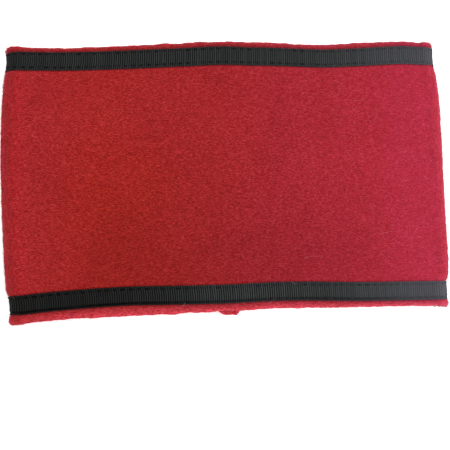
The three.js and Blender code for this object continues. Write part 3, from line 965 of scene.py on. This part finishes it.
def allowance(name, near_side, far_side, seed):
    """One pressed-open end of the strip inside the back layer: a rounded strip with a wandering cut edge."""
    heights = np.linspace(LOWER_HEM_END + 1.2, UPPER_HEM_END - 1.2, 96)
    turn = np.linspace(0, 2 * np.pi, 28, endpoint=False)
    power = 0.55
    across = np.sign(np.cos(turn)) * np.abs(np.cos(turn)) ** power
    through = np.sign(np.sin(turn)) * np.abs(np.sin(turn)) ** power
    station = heights * 4 / 420  # as if the strip lay along the loop, for the noise
    wander = unevenness(station, 0 * heights, (3, 12), seed=seed, count=20)[:, None]
    middle, half = (near_side + far_side) / 2, (far_side - near_side) / 2
    far_share = smooth((across + 0.2) / 1.2)
    distance = middle + half * across + 0.3 * wander * far_share * np.sign(half)
    lift = 0.06 * unevenness(station[:, None], distance * 3, (4, 15), seed=seed + 1)
    offset = INNER_FACE - 0.95 - 0.5 * through + lift
    h = np.broadcast_to(heights[:, None], distance.shape)
    points = wall_point(SEAM_U - distance / LAYER_LENGTH, h, offset)
    grid, (i, j) = grid_faces(len(heights), len(turn), False, True)
    uv = 0.02 + 0.9 * np.stack([i / len(heights), j / len(turn)], -1)
    caps = np.stack([np.arange(len(turn))[::-1], (len(heights) - 1) * len(turn) + np.arange(len(turn))])
    cap_uv = 0.95 + 0.02 * np.stack([np.cos(turn), np.sin(turn)], -1)
    cap_uv = np.stack([cap_uv[::-1], cap_uv - [0, 0.1]])
    if half > 0:
        grid, uv, caps, cap_uv = grid[:, ::-1], uv[:, ::-1], caps[:, ::-1], cap_uv[:, ::-1]
    rubbed_and_lit = np.clip(far_share * (np.abs(across) > 0.9) + 0 * distance, 0, 1) * 0.6
    values = {"rubbed_and_lit": rubbed_and_lit, "light_shade_tint": np.ones(distance.shape + (3,))}
    return put_mesh(name, points, [grid, caps], [uv, cap_uv], WOOL, values)


# The ribbons.
def ribbon(name, start, which, lines, grooves, seed):
    """Grosgrain carried round the loop. Its outer face is a shallow dome with a groove along each row of
    stitching, dented at each needle hole, and crossed by round-topped ribs, whose ends stand out a little at
    the selvages."""
    height = start + RIBBON_WIDTH / 2
    lengths = lengths_at(height)
    ribs = round(lengths[-1] / RIB_PITCH)
    place = np.arange(ribs * RIB_STEPS) / (ribs * RIB_STEPS)
    u = np.interp(place * lengths[-1], lengths, RUN)[:, None]
    draw = np.random.default_rng(seed)
    drift = np.interp(place * ribs, np.arange(ribs + 1), draw.uniform(-0.07, 0.07, ribs + 1))[:, None]
    round_top = np.abs(np.sin(np.pi * (place[:, None] * ribs + drift)))
    top = np.array(across_ribbon([0.12, 0.3, 0.55, 0.8, 1.03, STITCH_IN, 1.47, 1.7, 2.0, 2.6, 3.4]))
    dome = -RIBBON_DOME * ((top - RIBBON_WIDTH / 2) / (RIBBON_WIDTH / 2)) ** 2
    level = RIBBON_OUTER + dome + 0 * round_top
    # Painted shade where the stitching presses the ribs flat: beside each thread, under it too where it has
    # sunk in, and lighter over the strip between the lower margin's stitching and the ribbon's edge.
    pressed = 0 * level
    for line, depth in zip((STITCH_LINES[key] for key in lines), grooves):
        phase = (stitch_phase(u, line) + 0.5) % 1 - 0.5
        away = np.abs(start + top - line)
        deep = depth == MARGIN_GROOVE
        width = GROOVE_WIDTH * (1.5 if deep else 1)
        level = level - depth * bell(away, width) - NEEDLE_DENT * bell(away, 0.3) * bell(phase, 0.13)
        under_thread = mix(1 if deep else 0, 1, smooth((np.abs(phase) - 0.24) / 0.06))
        pressed = np.maximum(pressed, bell(np.maximum(away - 0.22, 0), 0.5 * width) * under_thread)
        if deep:
            pressed = np.maximum(pressed, 0.4 * (start + top < line))
    level = level - 0.35 * bell(seam_distance(u), 0.55)
    selvage = smooth(np.minimum(top, RIBBON_WIDTH - top) / 0.5)
    outer = level - RIB_DEPTH * (1 - round_top**0.7) * mix(0.5, 1, selvage)
    inner = level[:, ::-1][:, ::4] - RIBBON_BODY
    inner_rows = top[::-1][::4]
    # Each selvage is three rows of points that bulge at every rib.
    bulge = 0.08 * round_top
    drops = np.array([0.28, 0.12, 0.03])
    end = start + RIBBON_WIDTH
    lower_side = np.concatenate([start - bulge + 0.02, start - bulge - 0.02, start + 0.05 + 0 * bulge], 1)
    upper_side = np.concatenate([end - 0.05 + 0 * bulge, end + bulge + 0.02, end + bulge - 0.02], 1)
    top_h, inner_h = [np.broadcast_to(start + row[None], (len(u), len(row))) for row in (top, inner_rows)]
    h = np.concatenate([lower_side, top_h, upper_side, inner_h], 1)
    offset = np.concatenate([outer[:, :1] - drops, outer, outer[:, -1:] - drops[::-1], inner], 1)
    tones = draw.uniform(0, 1, ribs + 1)
    rib_tone = tones[np.floor(place * ribs).astype(int)][:, None] + 0 * h
    # The painted sheen, strongest at the front's right end.
    painted_sheen_and_dust = ribbon_painted_sheen(u, which)
    # A painted highlight on the rib crests, as strong as the table gives along the front.
    crest_highlight = mix(0.375, round_top**4, rib_highlight_share(u, which)) + 0 * h
    # Painted shade on the crests where the stitching presses, less of it where the painted sheen lies.
    crest_highlight[:, len(drops):len(drops) + len(top)] *= 1 - (0.95 - 0.65 * painted_sheen_and_dust) * pressed
    values = {"rib_tone": rib_tone, "crest_highlight": np.clip(crest_highlight, 0, 1), "painted_sheen_and_dust": painted_sheen_and_dust + 0 * h}
    return ring_mesh(name, wall_point(u, h, offset), RIBBON, values)


def stitching(name, lying, sunk, seed):
    """Rows of lock stitches along the ribbons' stitch lines. Each stitch is a short thread that lies on its
    face and dives at both ends: its height falls off as the fourth power of the way from its middle. Each
    has its own length, place, thickness and dust."""
    draw = np.random.default_rng(seed)
    along = np.linspace(-1, 1, STITCH_POINTS)
    middle = STITCH_POINTS // 2
    paths, painted_sheen_and_dust = [], []
    for (row, line), level in zip(STITCH_LINES.items(), lying):
        count = stitch_count(line)
        lengths = lengths_at(line)
        centre = np.arange(count) + 0.5
        centre = centre + draw.uniform(-0.07, 0.07, count)
        share = STITCH_SHARE * draw.uniform(0.72, 1.12, count)
        place = (centre[:, None] + share[:, None] / 2 * along[None]) / count * lengths[-1]
        u = np.interp(place, lengths, RUN)
        offset = level + (sunk * np.abs(along) ** 4)[None]
        paths.append(wall_point(u, line + STITCH_SLANT * along[None] + 0 * u, offset + 0 * u))
        # Each stitch's own dust, added to the ribbon's painted sheen.
        dust_and_sheen = 0.4 * draw.random(count) ** 2
        painted_sheen_and_dust.append(np.clip(ribbon_painted_sheen(u[:, middle], row.split("_")[0]) + dust_and_sheen, 0, 1))
    paths = np.concatenate(paths)
    over = unit(np.cross(paths[:, middle + 1] - paths[:, middle - 1], np.array([0.0, 1.0, 0.0])))
    radii = THREAD / 2 * draw.uniform(0.65, 1.1, (len(paths), 1)) * (1 - 0.25 * np.abs(along) ** 3)
    return tube_mesh(name, paths, radii, 6, over, BLACK_THREAD, {"painted_sheen_and_dust": np.concatenate(painted_sheen_and_dust)})


# Loose fibres of the nap.
FIBRE_WAY = np.linspace(0, 1, FIBRE_POINTS)[None, :, None]  # from each fibre's root to its tip


def curled(draw, ahead, aside, lengths, curl):
    """Arcs of a circle from a root, of random length and curl: they set out ahead and bend aside."""
    long = draw.uniform(*lengths, len(ahead))[:, None, None]
    bend = draw.normal(0, curl, len(ahead))[:, None, None]
    bend = np.where(np.abs(bend) < 0.05, 0.05, bend)
    forward = np.sin(bend * FIBRE_WAY) / bend
    sideways = (1 - np.cos(bend * FIBRE_WAY)) / bend
    return long * (forward * ahead[:, None] + sideways * aside[:, None])


def tapering(draw, radius, count):
    """Radii along each fibre, falling off as the square of the way to its tip."""
    return draw.uniform(*radius, count)[:, None] * (1 - 0.65 * FIBRE_WAY[:, :, 0] ** 2)


def lying_fibres(u, h, level, draw, lengths, lift, radius):
    """Paths of fibres that lie on a face: arcs in the face's plane, heading mostly along the loop, that come
    out of the cloth, rise a little and go back."""
    place, along, across, outwards = wall_frame(u, h)
    count = len(u)
    heading = draw.normal(0, 0.42, count) + np.pi * (draw.random(count) < 0.5)
    ahead = np.cos(heading)[:, None] * along + np.sin(heading)[:, None] * across
    arcs = curled(draw, ahead, np.cross(outwards, ahead), lengths, 1.2)
    hump = np.sin(np.pi * np.minimum(FIBRE_WAY * 1.15, 1))
    height = draw.uniform(*lift, count)[:, None, None] * hump - 0.06
    paths = (place + outwards * level[:, None])[:, None] + arcs
    paths = paths + (outwards * np.sign(level)[:, None])[:, None] * height
    return paths, tapering(draw, radius, count), outwards


def off_the_floor(paths, radii):
    """Lifts what would reach below the surface that the band lies on."""
    lowest = 0.02 + radii
    paths[..., 2] = np.maximum(paths[..., 2], lowest)
    return paths


def bare_heights(draw, count):
    """Random heights on the outer face that no ribbon covers."""
    h = draw.uniform(LOWER_EDGE + LOWER_ROLL * 0.5, UPPER_EDGE - UPPER_ROLL * 0.5, count * 2)
    return h[~near_ribbon(h, 0.6)][:count]


def face_fuzz(name, count, span, seed, inside=False):
    """Fibres on one stretch of the loop, on the outer face or on the inner one."""
    draw = np.random.default_rng(seed)
    if inside:
        h = draw.uniform(LOWER_HEM_END + 1, UPPER_HEM_END - 1, count)
    else:
        h = bare_heights(draw, count)
    u = draw.uniform(*span, len(h))
    level = np.full(len(h), INNER_FACE) if inside else outer_relief(u, h)
    paths, radii, over = lying_fibres(u, h, level, draw, (1.0, 3.6), (0.08, 0.36), (0.02, 0.042))
    tone = draw.beta(1.5, 2.2, len(h))
    locks = draw.random(len(h)) < 0.08
    radii = radii * np.where(locks, 1.6, 1.0)[:, None]
    tone = np.where(locks, 0.4 + 0.6 * tone, tone)
    # The fibres carry a weaker share of the wool's painted light and shade.
    values = {"tone": tone, "light_shade_tint": np.ones((len(h), 3)) if inside else wool_painted_light(u, h) ** 0.75}
    return tube_mesh(name, off_the_floor(paths, radii), radii, 3, over, FIBRE, values)


def edge_fuzz(name, count, seed):
    """Short hairs that stand out from the folded edges, each along the edge's own outward direction with a
    random lean."""
    draw = np.random.default_rng(seed)
    upper = draw.random(count) < 0.45
    u = draw.uniform(0, 4, count)
    angle = draw.uniform(-0.5, 1.2, count)
    turn = np.where(upper, -UPPER_ROLL, LOWER_ROLL)
    edge = np.where(upper, UPPER_EDGE, LOWER_EDGE)
    place, along, across, outwards = wall_frame(u, edge + turn * (1 - np.cos(angle)))
    root = place + outwards * (EDGE_CENTRE + EDGE_RADIUS * np.sin(angle) * 0.98)[:, None]
    out_of_edge = (np.where(upper, 1, -1) * np.cos(angle))[:, None]
    away = unit(across * out_of_edge + outwards * np.sin(angle)[:, None])
    lean = away + along * draw.normal(0, 1.1, count)[:, None]
    lean = unit(lean + outwards * draw.normal(0, 0.3, count)[:, None])
    aside = unit(np.cross(lean, along + 0.3 * outwards))
    paths = root[:, None] - 0.08 * away[:, None]
    paths = paths + curled(draw, lean, aside, (0.5, 1.7), 1.3)
    radii = tapering(draw, (0.018, 0.04), count)
    # The hairs carry the painted light and shade of the edge they stand on.
    values = {"tone": draw.beta(2.0, 2.0, count), "light_shade_tint": wool_painted_light(u, edge)}
    return tube_mesh(name, off_the_floor(paths, radii), radii, 3, aside, FIBRE, values)


# Stray hairs: where each starts on the loop's front, its heading, length and bend in degrees, and how pink
# it is.
HAIRS = named_columns("x y heading length bend tone", [
    (26.5, -48.0, -52, 2.6, 25, 0.6),
    (15.6, -57.4, 8, 3.0, 45, 0.2),
    (-23.6, -57.6, 30, 2.2, 60, 0.1),
    (31.5, -38.6, 26, 9.0, -45, 0.9),
    (-95.4, -38.6, -10, 3.0, 95, 1.0),
    (67.0, -28.5, 20, 8.0, -25, 1.0),
    (58.0, 33.0, -12, 6.0, 50, 1.0),
])


def stray_hairs(name):
    """Pale hairs that lie loosely on the front, each a plain arc."""
    x, y = HAIRS["x"][:, None], HAIRS["y"][:, None]
    t = np.linspace(0, 1, HAIR_POINTS)[None]
    turn = np.radians(HAIRS["heading"][:, None] + HAIRS["bend"][:, None] * t)
    step = HAIRS["length"][:, None] / (HAIR_POINTS - 1)
    along = x + np.cumsum(np.cos(turn) * step, 1)
    across = y + np.cumsum(np.sin(turn) * step, 1)
    front = np.linspace(1.5, 3.5, 800)
    u = np.interp(along, middle_surface(front, 0)[:, 0], front)
    h = across - edge_shift(along, across, "front")
    level = np.where(near_ribbon(h, 0.4), RIBBON_OUTER + 0.06, outer_relief(u, h) + 0.16)
    paths = wall_point(u, h, level)
    radii = 0.035 * (1 - 0.6 * t**2) + 0 * h
    over = np.broadcast_to([0.0, 0.0, 1.0], (len(h), 3))
    return tube_mesh(name, paths, radii, 5, over, LINT, {"tone": HAIRS["tone"]})


def build_band():
    lower_lines, upper_lines = [lines for _, lines in RIBBON_ROWS]
    lower_grooves, upper_grooves = (MARGIN_GROOVE, GROOVE), (GROOVE, UPPER_GROOVE)
    outside = [RIBBON_OUTER - 0.02 - depth for depth in lower_grooves + upper_grooves]
    inside = [HEM_FACE - 0.02] * len(STITCH_LINES)
    return {
        "wool": wool_band(),
        "left": allowance("seam_allowance_left_cloth", -0.12, -8.6, 31),
        "right": allowance("seam_allowance_right_cloth", 0.12, 8.6, 41),
        "lower": ribbon("lower_grosgrain_ribbon", LOWER_RIBBON, "lower", lower_lines, lower_grooves, 61),
        "upper": ribbon("upper_grosgrain_ribbon", UPPER_RIBBON, "upper", upper_lines, upper_grooves, 62),
        "stitches": stitching("ribbon_stitches_outside", outside, -0.32, 71),
        "bobbin": stitching("ribbon_stitches_inside", inside, 0.3, 72),
        "front_fuzz": face_fuzz("front_fibres", 7600, (1.4, 3.6), 51),
        "back_fuzz": face_fuzz("back_fibres", 4200, (-0.4, 1.4), 52),
        "inner_fuzz": face_fuzz("inner_fibres", 2200, (0, 4), 53, inside=True),
        "edge_fuzz": edge_fuzz("edge_fibres", 3400, 54),
        "hairs": stray_hairs("stray_hairs"),
    }


pieces = build_band()
for piece in pieces.values():
    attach(piece, "root")
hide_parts("wool_band")
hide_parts("seam_allowance_left")
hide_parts("seam_allowance_right")
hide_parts("lower_ribbon")
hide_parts("upper_ribbon")

# What was cut for the band: one strip of wool with its hems and seam allowances, which all the rest is
# sewn to.
LOOP_LENGTH = float(lengths_at(0)[-1]) * MM


# The floor, light and camera.
def floor():
    mesh = bpy.data.meshes.new("floor")
    reach = 4.0
    corners = [(-reach, -reach, 0), (reach, -reach, 0), (reach, reach, 0), (-reach, reach, 0)]
    mesh.from_pydata(corners, [], [(0, 1, 2, 3)])
    material, tree, shader = new_material("pale_floor", "")
    tone = noise(tree, object_place(tree), 60.0)
    fill(tree, shader, {
        "Base Color": blended(tree, tone, (0.90, 0.905, 0.91, 1), (0.93, 0.935, 0.94, 1)),
        "Roughness": 0.9,
        "Emission Color": (1.0, 1.0, 1.0, 1),
        "Emission Strength": 0.45,
    })
    mesh.materials.append(material)
    show("floor", mesh)


def soft_light(name, place, aim, size, power, colour):
    """A square soft light at a place in metres, turned to face another."""
    lamp = bpy.data.lights.new(name, "AREA")
    lamp.shape = "RECTANGLE"
    lamp.size, lamp.size_y = size
    lamp.energy = power
    lamp.color = colour
    turn = (Vector(aim) - Vector(place)).to_track_quat("-Z", "Y").to_matrix().to_4x4()
    show(name, lamp).matrix_world = Matrix.Translation(place) @ turn


# The photograph was taken nearly straight down. Angles in degrees, lengths in millimetres of the loop's
# own frame.
LENS = 75.0
CAMERA_ANGLES = {"azimuth": -41.37, "elevation": 83.20, "roll": 39.52}
CAMERA_TARGET = (-2.01, -22.09, 11.0)
CAMERA_DISTANCE = 418.24


def camera():
    """The camera stands off its target, in the direction of its azimuth and elevation, rolled about that."""
    azimuth, elevation, roll = (math.radians(angle) for angle in CAMERA_ANGLES.values())
    flat = math.cos(elevation)
    back = Vector((math.sin(azimuth) * flat, -math.cos(azimuth) * flat, math.sin(elevation)))
    level = Vector((math.cos(azimuth), math.sin(azimuth), 0))
    rise = back.cross(level)
    right = math.cos(roll) * level + math.sin(roll) * rise
    up = -math.sin(roll) * level + math.cos(roll) * rise
    place = (Vector(CAMERA_TARGET) + Vector(PLACE) + back * CAMERA_DISTANCE) * MM
    data = bpy.data.cameras.new("camera")
    data.lens = LENS
    data.sensor_width = 36.0
    data.clip_start = 0.01
    obj = show("camera", data)
    obj.matrix_world = Matrix((
        (right.x, up.x, back.x, place.x),
        (right.y, up.y, back.y, place.y),
        (right.z, up.z, back.z, place.z),
        (0, 0, 0, 1),
    ))
    bpy.context.scene.camera = obj


def world():
    """A pale world that the camera sees at full strength and the cloth is lit by at a quarter of it."""
    made = bpy.data.worlds.new("studio")
    made.use_nodes = True
    background = made.node_tree.nodes["Background"]
    background.inputs["Color"].default_value = (0.97, 0.98, 1.0, 1)
    seen = add(made.node_tree, "ShaderNodeLightPath").outputs["Is Camera Ray"]
    made.node_tree.links.new(ranged(made.node_tree, seen, 0.0, 1.0, 0.24, 1.0), background.inputs["Strength"])
    bpy.context.scene.world = made


floor()
soft_light("window_right", (0.52, 0.0, 0.27), (0.05, 0, 0), (0.35, 0.7), 4.8, (0.97, 0.98, 1.0))
soft_light("low_right", (0.40, -0.06, 0.15), (0.06, -0.02, 0), (0.12, 0.5), 0.5, (0.95, 0.97, 1.0))
soft_light("far_side", (0.0, 0.62, 0.36), (0, 0.02, 0), (0.8, 0.4), 3.6, (1.0, 0.99, 0.97))
soft_light("near_side", (0.0, -0.62, 0.22), (0, -0.02, 0), (0.8, 0.25), 2.6, (1.0, 0.99, 0.97))
soft_light("left_side", (-0.62, 0.0, 0.36), (-0.02, 0, 0), (0.4, 0.8), 2.4, (1.0, 0.98, 0.96))
camera()
world()
bpy.context.scene.view_settings.view_transform = "Standard"
